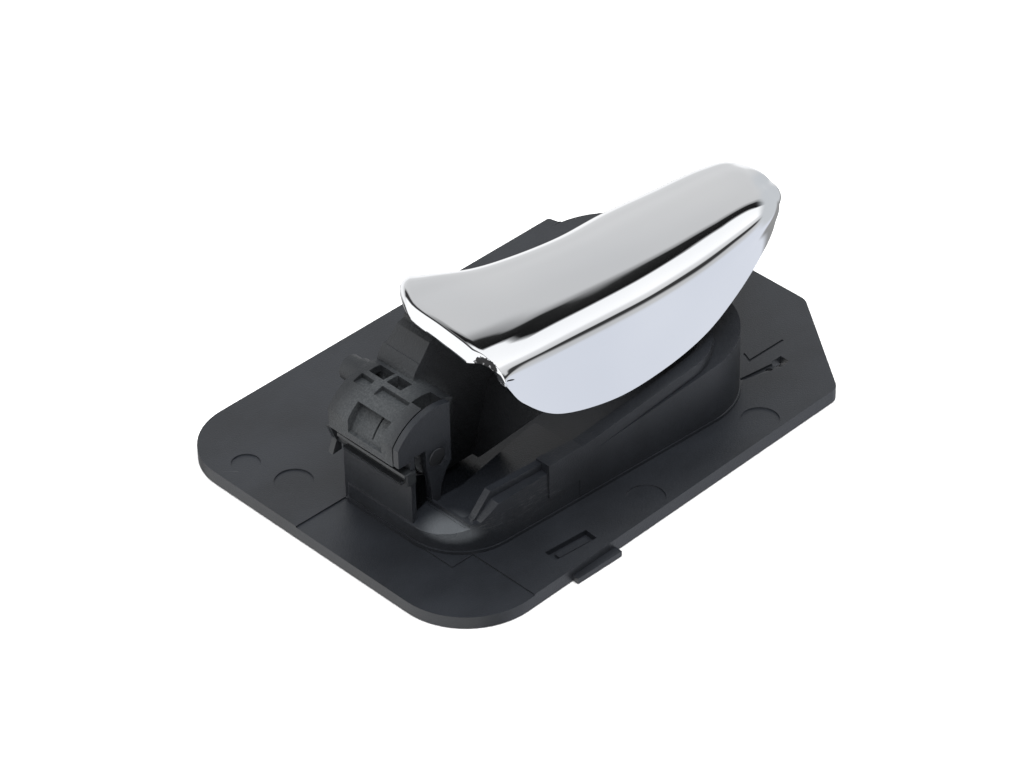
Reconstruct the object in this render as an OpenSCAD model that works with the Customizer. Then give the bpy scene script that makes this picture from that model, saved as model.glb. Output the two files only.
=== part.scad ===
// Inside door handle of a car: a plated pull lever on a black moulded housing.
// All sizes are in millimetres. The housing lies flat on z = 0, which is the
// back of its flange. +X runs along the handle towards the lever's free end,
// +Y runs across it and +Z points out of the door, towards the hand.
// The lever turns on a steel pin at the hinge end and a wire spring brings it back.

/* [Flange] */
// Length of the flange along the handle
flange_len = 124.6; // [122:0.2:128]
// Height of the flange's edge, from its back to its face
flange_h = 3; // [2.8:0.1:3.4]
// Thickness of the flange's skin inside its turned-down edge
skin_t = 2; // [1.6:0.1:2.2]
// Width of the turned-down edge
lip_w = 1.8; // [1.4:0.1:2.4]
// Radius of the flange's corner nearest the hinge
corner_r = 16; // [10:1:20]

/* [Pan] */
// Wall thickness of the hollow pan
pan_wall = 1.5; // [1.2:0.1:1.7]
// Height of the pan's ledge at the middle of the part
ledge_z = 14.76; // [14:0.1:15.2]
// Rise of the ledge for each millimetre along the handle
ledge_slope = 0.111; // [0.09:0.005:0.12]
// Height of the raised rim above the ledge
rim_rise = 2.8; // [2:0.1:3]
// Height of the shelf inside the pan, at its hinge end
shelf_z = 9; // [8:0.1:9.6]

/* [Hinge] */
// Pin axis: distance from the middle of the part towards the hinge end
pivot_off = 42.2; // [41.9:0.1:42.5]
// Pin axis: height above the back of the flange
pivot_z = 19.5; // [19.2:0.1:19.8]
// Radius of the hinge pin
pin_r = 2; // [1.6:0.1:2.2]
// Running fit of the lever on the pin, each side
pin_fit = 0.05; // [0.02:0.01:0.1]
// Radius of the lever's hub
hub_r = 4.2; // [3.8:0.1:4.4]
// Outer radius of the lever's drum
drum_r = 11.9; // [11.6:0.1:12.2]
// Inner radius of the drum's shell
drum_in = 9.2; // [9.1:0.05:9.6]
// Thickness of the bracket's cheek on the near side
cheek_t = 1.4; // [1.2:0.1:1.8]
// Side play between the hub and the bracket, each side
side_gap = 0.3; // [0.2:0.05:0.5]
// Thickness of the front wall of the bracket
front_t = 1.7; // [1.4:0.1:1.8]

/* [Lever] */
// Near face of the lever's neck, measured from the pin's middle plane
neck_near = 5.8; // [5.4:0.1:6]
// Thickness of the ribs and fins of the lever
rib_t = 1.2; // [1:0.1:1.4]
// Thickness of the plate under the grip
grip_t = 1.8; // [1.4:0.1:2.2]
// Radius of the hole that takes the cable's hook
eye_r = 1.75; // [1.5:0.05:2]

/* [Cover] */
// Wall thickness of the plated cover
cover_wall = 1.8; // [1.4:0.1:2]
// Clearance between the cover and the lever inside it
cover_gap = 0.3; // [0.3:0.05:0.5]
// Crown of the cover's top face
crown = 0.6; // [0.2:0.1:1]
// Depth of the cover's turned-down end at the ridge
end_drop = 3.4; // [2.4:0.1:3.8]

/* [Spring] */
// Diameter of the spring's wire
wire_d = 0.9; // [0.7:0.05:1]
// Number of coils in the spring
coils = 3; // [2:1:3]

/* [Hidden] */
$fn = 48;
black = [0.17, 0.18, 0.19];
half_len = flange_len / 2;
pivot_x = -pivot_off;
wall_x = pivot_x - 6.9;
inner_x = wall_x + front_t;
hub_y0 = -13.7;
hub_y1 = 10.5;
cheek_y1 = hub_y0 - side_gap;
cheek_y0 = cheek_y1 - cheek_t;
ear_y0 = hub_y1 + side_gap;
ear_y1 = ear_y0 + 1.8;
neck_y0 = -neck_near;
pin_y0 = cheek_y0 - 0.1;
pin_y1 = ear_y1 + 1.1;
roof_t = 1.8;
clear_r = drum_in - 0.35;
spring_y0 = hub_y0 + 0.3;
coil_r = hub_r + 0.35 + wire_d / 2;

// Direction of an angle, and the point at a radius and angle about the pin
function dir(a) = [cos(a), sin(a)];
function about(r, a) = [pivot_x + r * cos(a), pivot_z + r * sin(a)];
function unit(v) = v / norm(v);
function mix(a, b, t) = a + (b - a) * t;
function line_z(x) = ledge_z + ledge_slope * x;

// An outline is a list of [x, y, corner radius], anticlockwise.
function flat(p) = [p[0], p[1]];
function round_corner(p0, p, p1, r, seg) =
    r <= 0 ? [p] :
    let (a = unit(p0 - p), b = unit(p1 - p), half = acos(a * b) / 2)
    let (c = p + unit(a + b) * (r / sin(half)), t = r / tan(half))
    let (s = p + a * t - c, e = p + b * t - c)
    let (a0 = atan2(s[1], s[0]), a1 = atan2(e[1], e[0]))
    let (turn = (a1 - a0 + 540) % 360 - 180)
    [for (k = [0:seg]) c + r * dir(a0 + turn * k / seg)];
function rounded(o) =
    let (n = len(o))
    [for (i = [0:n - 1]) each round_corner(flat(o[(i + n - 1) % n]), flat(o[i]),
        flat(o[(i + 1) % n]), o[i][2], max(3, ceil(o[i][2] * 0.7)))];
// The same outline drawn in by d on every side
function inset(o, d) =
    let (n = len(o))
    [for (i = [0:n - 1])
        let (p = flat(o[i]), a = unit(p - flat(o[(i + n - 1) % n])))
        let (b = unit(flat(o[(i + 1) % n]) - p), na = [-a[1], a[0]], nb = [-b[1], b[0]])
        let (q = p + (na + nb) * (d / (1 + na * nb)), turn = a[0] * b[1] - a[1] * b[0])
        [q[0], q[1], o[i][2] <= 0 ? 0 : max(0.2, o[i][2] + (turn < 0 ? d : -d))]];

// Flange outline, pan outline, raised rim and the recess inside the pan
plate = [[-half_len, -44.3, corner_r], [44.4, -40.5, 3], [half_len, -15.3, 4],
         [half_len, 41.3, 19], [46.2, 41.3, 0.6], [45.6, 44, 0.8],
         [-half_len, 42, 14]];
pan = [[-49.8, -28.3, 13], [36.2, -31.8, 16.5], [35.5, 19.5, 12], [-26, 19.5, 6],
       [-27, 13.5, 3], [-49.8, 13.5, 2]];
rim = [[-18, -29.4, 0.5], [26.5, -30.1, 12.5], [26.5, 16.8, 10], [-18, 16.8, 1]];
recess = [[-43.5, -24.3, 1.5], [-17, -26.5, 0], [23.8, -27, 9.5], [23.8, 15, 8],
          [-22.5, 15, 3], [-24.5, 10.6, 0], [inner_x, 10.6, 1], [inner_x, cheek_y1, 0],
          [-43.5, cheek_y1, 0]];
shelf = [[-44.5, -25.2, 0], [-17, -27.2, 0], [-11, -27.4, 0], [-11, -9.9, 1],
         [-35.7, -15, 3], [-44.5, cheek_y1 - 0.7, 0]];
floor_z = flange_h;
function shelf_top(x) = shelf_z - 0.031 * (x + 44.5);

// Plate between two y values whose outline lies in the x-z plane
module slab(y0, y1) {
    translate([0, y1, 0]) rotate([90, 0, 0]) linear_extrude(height = y1 - y0) children();
}
module rod(x, z, r, y0, y1) {
    translate([x, y1, z]) rotate([90, 0, 0]) cylinder(r = r, h = y1 - y0);
}
module block(x0, x1, y0, y1, z0, z1) {
    translate([x0, y0, z0]) cube([x1 - x0, y1 - y0, z1 - z0]);
}
module plan(o, z0, z1) {
    translate([0, 0, z0]) linear_extrude(height = z1 - z0) polygon(rounded(o));
}
// Ring sector about the pin, in the x-z plane
module sector(r0, r1, a0, a1) {
    translate([pivot_x, pivot_z]) intersection() {
        difference() {
            circle(r = r1);
            circle(r = r0);
        }
        polygon([[0, 0], 3 * r1 * dir(a0), 3 * r1 * dir((a0 + a1) / 2), 3 * r1 * dir(a1)]);
    }
}

module flange() {
    difference() {
        plan(plate, 0, flange_h);
        plan(inset(plate, lip_w), -1, flange_h - skin_t);
    }
    block(-33.5, -21.6, -44.7, -42, 0, 1.2);
    block(32.5, 41, -42, -39.5, 0, 1.2);
}

// Height profile of the pan: low step at the hinge end, then the sloping ledge
module pan_profile(drop) {
    slab(-60, 60) polygon([[-60, 0.4], [-60, 6.9 - drop], [-49.6, 6.9 - drop],
        [-44, 9 - drop], [-44, line_z(-44) - drop], [40, line_z(40) - drop], [40, 0.4]]);
}

module pan_body() {
    intersection() {
        plan(inset(pan, 0.3), flange_h - 1, 40);
        pan_profile(0);
    }
    // Foot band where the pan meets the flange
    plan(pan, flange_h - 1, flange_h + 0.7);
    // Raised rim round the recess, higher than the ledge
    intersection() {
        plan(rim, flange_h, 40);
        slab(-60, 60) polygon([[-18, 4], [-18, line_z(-18) + rim_rise],
            [40, line_z(40) + rim_rise], [40, 4]]);
    }
    // Thin upright wall between the rim and the step, with a sloped end
    intersection() {
        plan(inset(recess, -pan_wall), flange_h, 40);
        slab(-40, -20) polygon([[-44, 4], [-44, 9.6], [-42.6, 10.4], [-38.6, 15.2],
            [-17.5, line_z(-18) + rim_rise], [-17.5, 4]]);
    }
    // Stop block for the trim panel
    block(-26, -17, -29.4, -25.2, 8, line_z(-26) + rim_rise + 1.2);
}

// Hollow at the back, between the outer wall and the wall of the recess
module back_hollow() {
    intersection() {
        difference() {
            plan(inset(pan, 0.3 + pan_wall), -1, 40);
            plan(inset(recess, -pan_wall), -2, 41);
        }
        pan_profile_back();
    }
}
module pan_profile_back() {
    slab(-60, 60) polygon([[-60, -2], [-60, 5.1], [-49.6, 5.1], [-44, 7.2],
        [-44, line_z(-44) - roof_t], [40, line_z(40) - roof_t], [40, -2]]);
}

module shelf_solid(d, z0, drop) {
    intersection() {
        plan(inset(shelf, d), z0, 30);
        slab(-40, 0) polygon([[-50, z0 - 1], [-50, shelf_top(-50) - drop],
            [-5, shelf_top(-5) - drop], [-5, z0 - 1]]);
    }
}

// Bracket that carries the hinge: front wall, near cheek and far ear
module cheek_outline() {
    difference() {
        union() {
            intersection() {
                translate([pivot_x, pivot_z]) circle(r = drum_r);
                translate([pivot_x - 9.9, pivot_z + 2.5]) square([13.5, 20]);
            }
            polygon([[wall_x, 6], [wall_x, pivot_z + 3], [pivot_x + 3.6, pivot_z + 3],
                [pivot_x + 3.6, pivot_z - 2.2], [pivot_x + 1.6, pivot_z - 2.6],
                [pivot_x + 0.6, 6]]);
        }
        translate([wall_x + 0.7, 8]) square([3, pivot_z - 4.5]);
    }
}
module bracket() {
    block(wall_x, inner_x, cheek_y1 - 0.2, 3.2, 5, pivot_z + 1.5);
    slab(cheek_y0, cheek_y1) cheek_outline();
    slab(ear_y0, ear_y1) union() {
        translate([pivot_x, pivot_z]) circle(r = 3.4);
        polygon([[pivot_x - 3.4, pivot_z], [pivot_x + 3.4, pivot_z],
            [pivot_x + 5, floor_z - 0.5], [pivot_x - 4.4, floor_z - 0.5]]);
    }
    // Gusset between the ear and the front wall's foot
    block(wall_x + 0.6, pivot_x - 2, ear_y0, ear_y1, floor_z - 0.5, 9);
}

// Seats of the two rubber buffers
stop_a = 283;
function stop_pt(r, h) = about(r, stop_a) + h * dir(stop_a + 90);
module seats() {
    slab(5.2, 8.2) polygon([stop_pt(7.4, 0), stop_pt(7.4, 2.6), [stop_pt(7.4, 2.6)[0], floor_z - 0.5],
        [stop_pt(7.4, 0)[0] - 1, floor_z - 0.5], [stop_pt(7.4, 0)[0] - 1, 9]]);
    block(-33.4, -29.2, -3.4, 2.4, floor_z - 0.5, 5.6);
}

module flange_marks() {
    // Ejector marks: shallow rounds in the face
    for (p = [[-53.2, 14.7], [-8.1, -37.9], [25.8, -36.6]])
        translate([p[0], p[1], flange_h - 0.15]) cylinder(r = 4, h = 1);
    translate([-56.1, 25.8, flange_h - 0.15]) cylinder(r = 3, h = 1);
    // Slot for a trim clip, and the small hole with its groove
    translate([-28.8, -38, -1]) rotate([0, 0, -4]) translate([-5.2, -1.6, 0]) cube([10.4, 3.2, 8]);
    translate([41.2, -27.6, -1]) cube([3, 2.5, 8]);
    translate([39.4, -26.4, -1]) cylinder(r = 0.8, h = 8);
    translate([0, 0, flange_h - 0.5]) linear_extrude(height = 2)
        polygon([[31.4, -24.3], [41.5, -25.6], [41.5, -27.2], [33.2, -25.4]]);
    // Corner panel set slightly lower, bounded by the mould's step lines
    translate([0, 0, flange_h - 0.3]) linear_extrude(height = 2)
        polygon([[-70, 3.9], [-49.4, 3.9], [-49.4, -26.6], [-43.9, -26.6], [-43.9, -50], [-70, -50]]);
    translate([0, 0, flange_h - 0.3]) linear_extrude(height = 2)
        polygon([[39.3, -19.2], [39.8, -19.2], [38.9, -21.4], [48.6, -21.4], [48.6, -21.9],
            [38.2, -21.9]]);
}

module housing() {
    color(black) difference() {
        union() {
            difference() {
                union() {
                    difference() {
                        flange();
                        flange_marks();
                    }
                    pan_body();
                }
                plan(recess, floor_z, 60);
                back_hollow();
            }
            shelf_solid(0, 1, 0);
            bracket();
            seats();
        }
        shelf_solid(pan_wall, -1, roof_t);
        // Room for the spring's coils and a groove for its leg in the front wall
        rod(pivot_x, pivot_z, coil_r + wire_d / 2 + 0.3, cheek_y1, -9.2);
        block(pivot_x - coil_r - wire_d / 2, inner_x + 1, hub_y0, -11.4, 9.5, pivot_z);
        rod(pivot_x, pivot_z, pin_r, cheek_y0 - 1, cheek_y1 + 1);
        rod(pivot_x, pivot_z, pin_r, ear_y0 - 1, ear_y1 + 1);
    }
}

// Rails of the plated cover, ten stations from the hinge end to the tip.
// far: far edge of the top. ridge: crease between top and bevel.
// low: crease between bevel and skirt. skirt: free lower edge.
far = [[-28.8, 5, 44.2], [-24.5, 4.6, 42.8], [-16, 2, 41.1], [-6, 0.6, 39.8], [6, 0, 38.6],
       [19, 1, 37.5], [32, 0.7, 36.9], [45.5, -0.3, 36.4], [52.5, -2.6, 35.7], [55, -8.4, 33.9]];
ridge = [[-33.8, -19, 42.6], [-27, -18.6, 42.3], [-17, -17.5, 41.9], [-6, -17.3, 41.3],
         [7, -17.6, 40.5], [20, -17.6, 39.8], [32, -17.2, 39.2], [43, -16.4, 38.3],
         [50, -14.6, 36.6], [55.1, -10.6, 33.4]];
low = [[-33.2, -25.4, 39.2], [-26, -25.8, 38.9], [-16, -25.8, 38.5], [-5, -25.9, 37.9],
       [7, -25.8, 37.2], [20, -24.8, 36.8], [32, -23.4, 36.4], [43, -21.4, 35.8],
       [50.5, -17.8, 34.4], [55.2, -12, 32.4]];
skirt = [[-33, -23.8, 36.4], [-27, -23, 29.5], [-18.5, -24.8, 22.2], [-5, -25.8, 18.9],
         [8, -25.8, 18.6], [20, -25.9, 20.8], [31, -23.7, 23.2], [42, -20.6, 26.2],
         [50.7, -16.6, 28.2], [55, -12.6, 31.2]];

// Smooth curve through the points of a list, s from 0 to 1 with equal steps
function curve4(a, b, c, d, t) = 0.5 * (2 * b + (c - a) * t
    + (2 * a - 5 * b + 4 * c - d) * t * t + (3 * b - a - 3 * c + d) * t * t * t);
function along(p, s) =
    let (n = len(p) - 1, i = min(floor(s * n), n - 1), t = s * n - i)
    curve4(i == 0 ? 2 * p[0] - p[1] : p[i - 1], p[i], p[i + 1],
        i == n - 1 ? 2 * p[n] - p[n - 1] : p[i + 2], t);
// Smooth curve through unevenly spaced points, k steps on each span
function bend(p, k) =
    let (n = len(p) - 1, d = [for (i = [0:n - 1]) max(0.05, norm(p[i + 1] - p[i]))])
    let (v = [for (i = [0:n - 1]) (p[i + 1] - p[i]) / d[i]])
    let (m = [for (i = [0:n]) i == 0 ? v[0] : i == n ? v[n - 1] :
        (v[i] * d[i - 1] + v[i - 1] * d[i]) / (d[i] + d[i - 1])])
    [for (i = [0:n - 1], j = [0:k - 1]) let (t = j / k)
        p[i] * (2 * t * t * t - 3 * t * t + 1) + m[i] * d[i] * (t * t * t - 2 * t * t + t)
        + p[i + 1] * (3 * t * t - 2 * t * t * t) + m[i + 1] * d[i] * (t * t * t - t * t),
        p[n]];

// Section of the cover: g shrinks its corners where the rails close in at the tip
function span_at(s) = norm(along(far, s) - along(ridge, s));
function tight(s) = min(1, span_at(s) / 9);
function outer_pts(s) =
    let (f = along(far, s), r = along(ridge, s), l = along(low, s), k = along(skirt, s), g = tight(s))
    let (fr = unit(r - f), rl = unit(l - r), lk = unit(k - l), up = [0, 0, crown * g])
    [f + [0, 0.5, -3.4] * g, f + [0, 0.2, -1.3] * g, f + fr * 1.3 * g,
     mix(f, r, 0.3) + up, mix(f, r, 0.65) + up, r - fr * 1.6 * g, r + rl * 1.4 * g,
     l - rl * 1.1 * g, l + lk * 1.1 * g, mix(l, k, 0.5) + [0, 0.2, 0] * g, k];
function inner_pts(s) =
    let (g = tight(s), w = cover_wall * g, o = outer_pts(s))
    let (f = along(far, s), r = along(ridge, s), l = along(low, s), q = [-0.9 * (1 - g), 0, 0])
    [o[0] + [0, -w, 0] + q, o[1] + [0, -w, -w * 0.3] + q, o[2] + [0, -w * 0.7, -w] + q,
     o[3] + [0, 0, -w] + q, o[4] + [0, 0, -w] + q, o[5] + [0, 0, -w] + q,
     o[6] + [0, w * 0.45, -w * 0.95] + q, o[7] + [0, w * 0.8, -w * 0.8] + q,
     o[8] + [0, w, -w * 0.4] + q, o[9] + [0, w, 0] + q, o[10] + [0, w * 0.75, 0] + q];

per_span = 3;
ring_n = 10 * per_span + 1;
// End roll: how far each point of the section turns down and out at the hinge end
function end_out(j) = let (u = j / (ring_n - 1))
    u < 0.08 ? [-0.2, 0.5, 0] : u < 0.2 ? [-0.75, 0.5, 0] : u < 0.62 ? [-1, 0, 0] :
    u < 0.75 ? [-0.6, 0, 0] : [-0.25, 0, 0];
function end_fall(j) = let (u = j / (ring_n - 1))
    u < 0.08 ? 0.2 : u < 0.2 ? 0.55 : u < 0.5 ? mix(0.7, 1, (u - 0.2) / 0.3) :
    u < 0.62 ? 1 : u < 0.75 ? 0.4 : 0.1;
stations = 40;
function shell_ring(s) = concat(bend(outer_pts(s), per_span), reversed(bend(inner_pts(s), per_span)));
function reversed(v) = [for (i = [len(v) - 1:-1:0]) v[i]];
// Rounded end: an arc of radius 1.4 and then a straight fall
function end_shift(a, j) =
    end_out(j) * 1.4 * sin(min(a, 90)) + [0, 0, -1.4 * (1 - cos(min(a, 90))) * end_fall(j)]
    - (a > 90 ? [0, 0, (end_drop - 1.4) * end_fall(j)] : [0, 0, 0]);
function end_ring(a) =
    let (o = bend(outer_pts(0), per_span), q = bend(inner_pts(0), per_span))
    concat([for (j = [0:ring_n - 1]) o[j] + end_shift(a, j)],
        reversed([for (j = [0:ring_n - 1]) q[j] + end_shift(a, j)
            - end_out(j) * 0.5 * sin(min(a, 90)) + [0, 0, a > 90 ? 0.2 : 0]]));

module lever_cover() {
    rings = concat([for (a = [100, 90, 68, 45, 22]) end_ring(a)],
        [for (i = [0:stations]) shell_ring(i / stations)]);
    n = 2 * ring_n;
    m = len(rings);
    body = [for (i = [0:m - 2], j = [0:n - 1]) let (k = (j + 1) % n)
        each [[i * n + j, (i + 1) * n + k, i * n + k], [i * n + j, (i + 1) * n + j, (i + 1) * n + k]]];
    first = [for (j = [0:ring_n - 2]) each [[j, j + 1, n - 2 - j], [j, n - 2 - j, n - 1 - j]]];
    b = (m - 1) * n;
    last = [for (j = [0:ring_n - 2]) each [[b + j, b + n - 2 - j, b + j + 1],
        [b + j, b + n - 1 - j, b + n - 2 - j]]];
    color([0.8, 0.81, 0.83]) polyhedron(points = [for (r = rings) each r],
        faces = concat(body, first, last), convexity = 6);
}

// Height of the cover's inside above a point of the plan, for the ribs below it
function s_at(p, x) = let (hits = [for (i = [0:60]) if (along(p, i / 60)[0] <= x) i])
    len(hits) == 0 ? 0 : hits[len(hits) - 1] / 60;
function roof(x, y) =
    let (f = along(far, s_at(far, x)), r = along(ridge, s_at(ridge, x)), l = along(low, s_at(low, x)))
    (y >= r[1] ? mix(f[2], r[2], min(1, max(0, (f[1] - y) / (f[1] - r[1]))))
     : mix(r[2], l[2], min(1, (r[1] - y) / (r[1] - l[1])))) - cover_wall * 1.15 - cover_gap;
function skirt_z(x) = along(skirt, s_at(skirt, x))[2];
grip_x0 = -32;
grip_x1 = 44;
// Underside of the grip, rising from the neck and then almost level
function under(x) = x < -8 ? 33 - 1.6 * pow((-8 - x) / 16, 2) * 1.9 : 33 - 0.03 * (x + 8);

module rib(y, x0, x1) {
    slab(y - rib_t / 2, y + rib_t / 2) polygon(concat(
        [for (i = [0:16]) let (x = mix(x0, x1, i / 16)) [x, roof(x, y)]],
        [for (i = [16:-1:0]) let (x = mix(x0, x1, i / 16)) [x, under(x) + 0.4]]));
}
module cross_rib(x, y0, y1) {
    translate([x - rib_t / 2, 0, 0]) rotate([90, 0, 90]) linear_extrude(height = rib_t)
        polygon(concat([for (i = [0:6]) let (y = mix(y0, y1, i / 6)) [y, roof(x, y) - 0.15]],
            [[y1, under(x) + 0.4], [y0, under(x) + 0.4]]));
}
grip = [[-30, -21.2, 4], [30, -19.6, 6], [46, -14.5, 4], [45.5, -5, 4], [20, -1.8, 0],
        [-6, -2, 0], [-24, 0.8, 0], [-31.5, 2.4, 1]];

module grip_core() {
    intersection() {
        plan(grip, 20, 50);
        slab(-40, 20) polygon(concat([for (i = [0:24]) let (x = mix(-33, 47, i / 24)) [x, under(x)]],
            [for (i = [24:-1:0]) let (x = mix(-33, 47, i / 24)) [x, under(x) + grip_t]]));
    }
    rib(-18.6, -28, 34);
    rib(-12, grip_x0 + 0.5, 43);
    rib(-5.2, grip_x0 + 0.5, 43);
    for (x = [-20, -6, 8, 22, 36]) cross_rib(x, -18, -3.4);
    // Backing panel that stiffens the skirt
    slab(-21, -19.6) polygon(concat([for (i = [0:14]) let (x = mix(-25, 30, i / 14)) [x, 34.4]],
        [for (i = [14:-1:0]) let (x = mix(-25, 30, i / 14)) [x, skirt_z(x) + 2.4]]));
}

module drum_cells() {
    for (c = [[hub_y0 - 1, -9.5], [-8.3, -1.1], [0.1, 3.4]]) {
        block(pivot_x - 4.4, pivot_x - 0.1, c[0], c[1], pivot_z + 5.6, pivot_z + 20);
        block(pivot_x + 1.1, pivot_x + 3.8, c[0], c[1], pivot_z + 5.6, pivot_z + 20);
    }
}

module lever_arm() {
    color(black) difference() {
        union() {
            rod(pivot_x, pivot_z, hub_r, hub_y0, hub_y1);
            difference() {
                union() {
                    slab(hub_y0, 4.4) sector(drum_in, drum_r, 60, 168);
                    for (y = [-9.5, -1.1, 3.2]) slab(y, y + rib_t) sector(hub_r - 1, drum_r, 58, 113);
                    slab(-9.5, 4.4) intersection() {
                        sector(hub_r - 1, drum_r, 58, 113);
                        translate([pivot_x - 0.1, pivot_z]) square([rib_t, 20]);
                    }
                }
                drum_cells();
                // Window in the drum's front and the flat cut on its face
                block(pivot_x - 20, pivot_x - 6.6, -8.6, 1, pivot_z + 3.8, pivot_z + 8.8);
                block(pivot_x - 20, pivot_x - 9.9, hub_y0 - 1, 6, 0, 60);
            }
            slab(-5.5, -4.9) intersection() {
                sector(drum_in, drum_r - 0.8, 150, 166);
                translate([pivot_x - 9.7, pivot_z]) square([9, 9]);
            }
            neck();
            cable_lug();
            // Stop nose on the hub
            slab(4.9, 7.1) sector(hub_r - 1, 6.4, 214, 236);
            grip_core();
        }
        rod(pivot_x, pivot_z, pin_r + pin_fit, hub_y0 - 1, hub_y1 + 1);
        rod(pivot_x + 0.6, pivot_z + 8, eye_r, 6, 12);
    }
}
// Plan of the neck's upper part, inside the cover's far wall
neck_plan = [[-42, -7, 0], [2, -7, 0], [2, -2.6, 0], [-6, -1.9, 0], [-16, -0.4, 0],
             [-24.5, 2.2, 0], [-30, 2.8, 0], [-42, 4.4, 0]];
module neck() {
    slab(neck_y0, 4.4) polygon([about(hub_r, 300), about(hub_r - 1, 120), about(drum_r - 0.2, 71.5),
        [-38.2, 32], [-24, 33.5], [-23.4, 24.5], [-25.2, 18.5], [-28.7, 11.7], [-30, 8.8], [-33, 8.8],
        [-37, 14.6]]);
    difference() {
        intersection() {
            slab(neck_y0, 4.4) polygon([[-38.4, 30.6], [-37.9, 33], [-36.5, 38.4], [-32.9, 38.4],
                [-32.7, 39.2], [-29, 39.3], [-22, 38.8], [-12, 38], [0, 36.6], [0, 33.3], [-10, 32.4],
                [-15.5, 31.4], [-19.4, 29.4], [-22, 26.8], [-23.4, 24.4], [-24.8, 28]]);
            plan(neck_plan, 20, 60);
        }
        block(-41, -34.4, neck_y0 + rib_t, 1.2, 33.5, 50);
        // Cores in the neck, open towards the near side
        slab(neck_y0 - 1, 2) polygon([[-33.2, 37], [-33.2, 31.4], [-26.5, 31.4], [-19, 35.6], [-12, 37]]);
    }
}
module cable_lug() {
    slab(7.4, 9.8) union() {
        translate([pivot_x + 0.6, pivot_z + 8]) circle(r = 3.5);
        polygon([[pivot_x - 4, pivot_z + 0.5], [pivot_x + 4, pivot_z + 0.5],
            [pivot_x + 4.05, pivot_z + 8.2], [pivot_x - 2.85, pivot_z + 8.2]]);
    }
}

module hinge_pin() {
    color([0.7, 0.71, 0.73]) rod(pivot_x, pivot_z, pin_r, pin_y0, pin_y1);
}
module pin_clip() {
    color([0.6, 0.61, 0.63]) difference() {
        rod(pivot_x, pivot_z, pin_r + 1.5, ear_y1, ear_y1 + 0.5);
        rod(pivot_x, pivot_z, pin_r, ear_y1 - 1, ear_y1 + 2);
    }
}

// Wire of the spring: a helix round the hub with two straight legs
function coil_pt(a) = [pivot_x + coil_r * cos(a), spring_y0 + wire_d / 2 + a / 360 * (wire_d + 0.06),
    pivot_z + coil_r * sin(a)];
turn0 = 180;
turn1 = 180 + 360 * coils;
wire_path = concat(
    [[pivot_x - coil_r, spring_y0 + wire_d / 2 + 0.45, pivot_z - 9],
     [pivot_x - coil_r, spring_y0 + wire_d / 2 + 0.45, pivot_z - 4]],
    [for (a = [turn0:15:turn1 - 90]) coil_pt(a)],
    [coil_pt(turn1 - 90) + [1.6, 0.1, 0.15], coil_pt(turn1 - 90) + [3.4, 0.2, 0.9]]);
module return_spring() {
    n = len(wire_path);
    k = 8;
    pts = [for (i = [0:n - 1])
        let (t = unit(wire_path[min(i + 1, n - 1)] - wire_path[max(i - 1, 0)]))
        let (u = unit(cross(t, [0, 1, 0])), v = cross(t, u))
        each [for (j = [0:k - 1]) wire_path[i]
            + wire_d / 2 * (u * cos(360 * j / k) + v * sin(360 * j / k))]];
    color([0.55, 0.56, 0.58]) polyhedron(points = pts, faces = concat(
        [[for (j = [k - 1:-1:0]) j], [for (j = [0:k - 1]) (n - 1) * k + j]],
        [for (i = [0:n - 2], j = [0:k - 1]) let (q = (j + 1) % k)
            each [[i * k + j, i * k + q, (i + 1) * k + q], [i * k + j, (i + 1) * k + q, (i + 1) * k + j]]]));
}

module rest_buffer() {
    color([0.08, 0.08, 0.08]) block(-33, -29.6, -3, 2, 5.6, 8.5);
}
module stop_buffer() {
    color([0.08, 0.08, 0.08]) slab(5.2, 8.2)
        polygon([stop_pt(4.9, 0), stop_pt(4.9, 2.6), stop_pt(7.4, 2.6), stop_pt(7.4, 0)]);
}

// Clip pushed over the front wall: two flanges, an outer plate and a flared end
module edge_clip() {
    z0 = pivot_z - 2.5;
    color([0.12, 0.12, 0.13]) union() {
        intersection() {
            union() {
                block(wall_x - 0.5, wall_x, cheek_y0 - 0.5, 5.2, z0, z0 + 3.2);
                block(wall_x - 3, wall_x, cheek_y0 - 0.5, 5.2, z0, z0 + 0.7);
                block(wall_x - 3, wall_x, cheek_y0 - 0.5, 5.2, z0 + 2.2, z0 + 3);
            }
            rod(pivot_x, pivot_z, clear_r, -30, 30);
        }
        block(wall_x - 1.4, wall_x + 1, cheek_y0 - 0.6, cheek_y0, z0 + 0.1, z0 + 3.1);
        slab(5.2, 6.8) polygon([[wall_x - 1.7, z0 + 3.6], [wall_x, z0 + 3.6], [wall_x, z0 - 4],
            [wall_x - 1.2, z0 - 4], [wall_x - 0.7, z0]]);
    }
}

housing();
lever_arm();
lever_cover();
hinge_pin();
pin_clip();
return_spring();
rest_buffer();
stop_buffer();
edge_clip();
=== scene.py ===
import math

import bmesh
import bpy
import numpy as np
from mathutils import Matrix, Vector

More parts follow.
